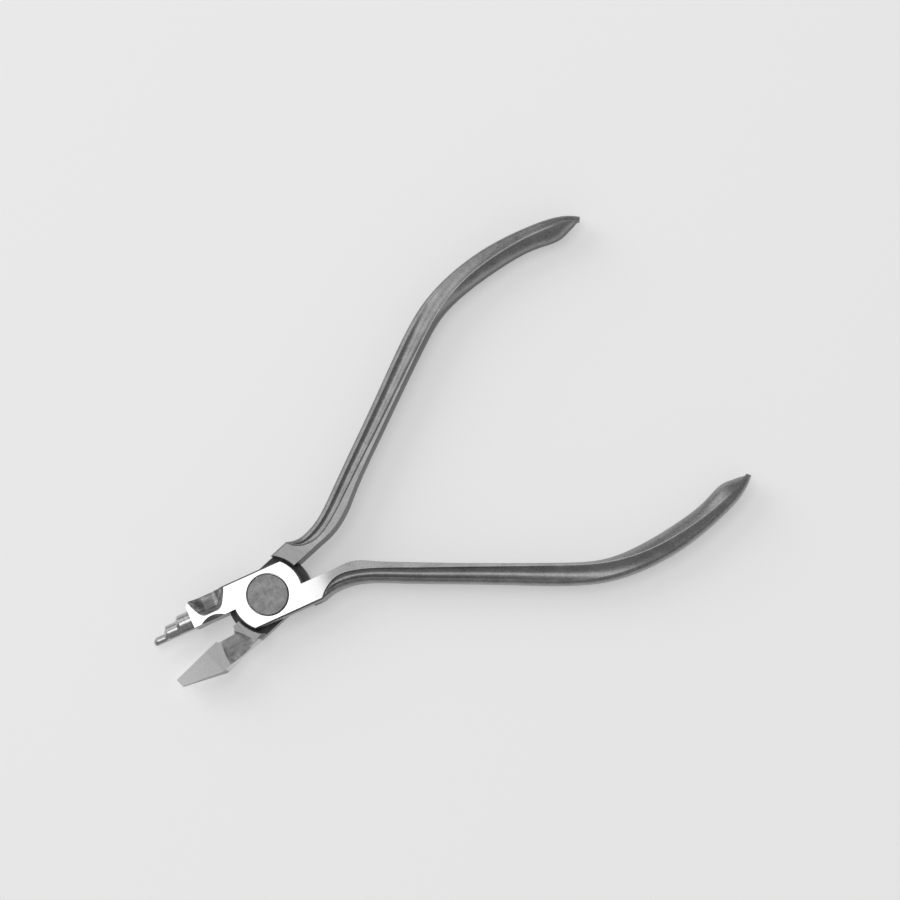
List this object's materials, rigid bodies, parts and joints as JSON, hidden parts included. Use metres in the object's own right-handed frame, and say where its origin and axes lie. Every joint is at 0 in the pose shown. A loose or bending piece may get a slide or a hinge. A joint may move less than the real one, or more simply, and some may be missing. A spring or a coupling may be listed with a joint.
{
  "type": "loop-forming pliers",
  "caption": "Small lap-jointed steel pliers with a stepped round beak, a flat tapered beak and bowed fluted handles.",
  "frame": {"origin": "on the pivot's axis, in the plane of the back face", "axes": "+Z along the pivot's axis out of the front face, +X towards the handles along the line halfway between the two arms at rest"},
  "size_m": [0.1307, 0.0796, 0.008],
  "materials": {
    "front_arm_steel": "satin forged stainless steel, ground bright on the joint and the beak",
    "back_arm_steel": "satin forged stainless steel, brushed flats, ground beak",
    "rivet_steel": "matt peened steel"
  },
  "bodies": {
    "front": {"front_arm": "front_arm_steel", "pivot_rivet": "rivet_steel"},
    "back": {"back_arm": "back_arm_steel"}
  },
  "joints": [
    {"name": "pivot", "type": "hinge", "parent": "front", "child": "back", "pos_m": [0, 0, 0], "axis": [0, 0, 1], "range_deg": [-18.1, 70]}
  ]
}
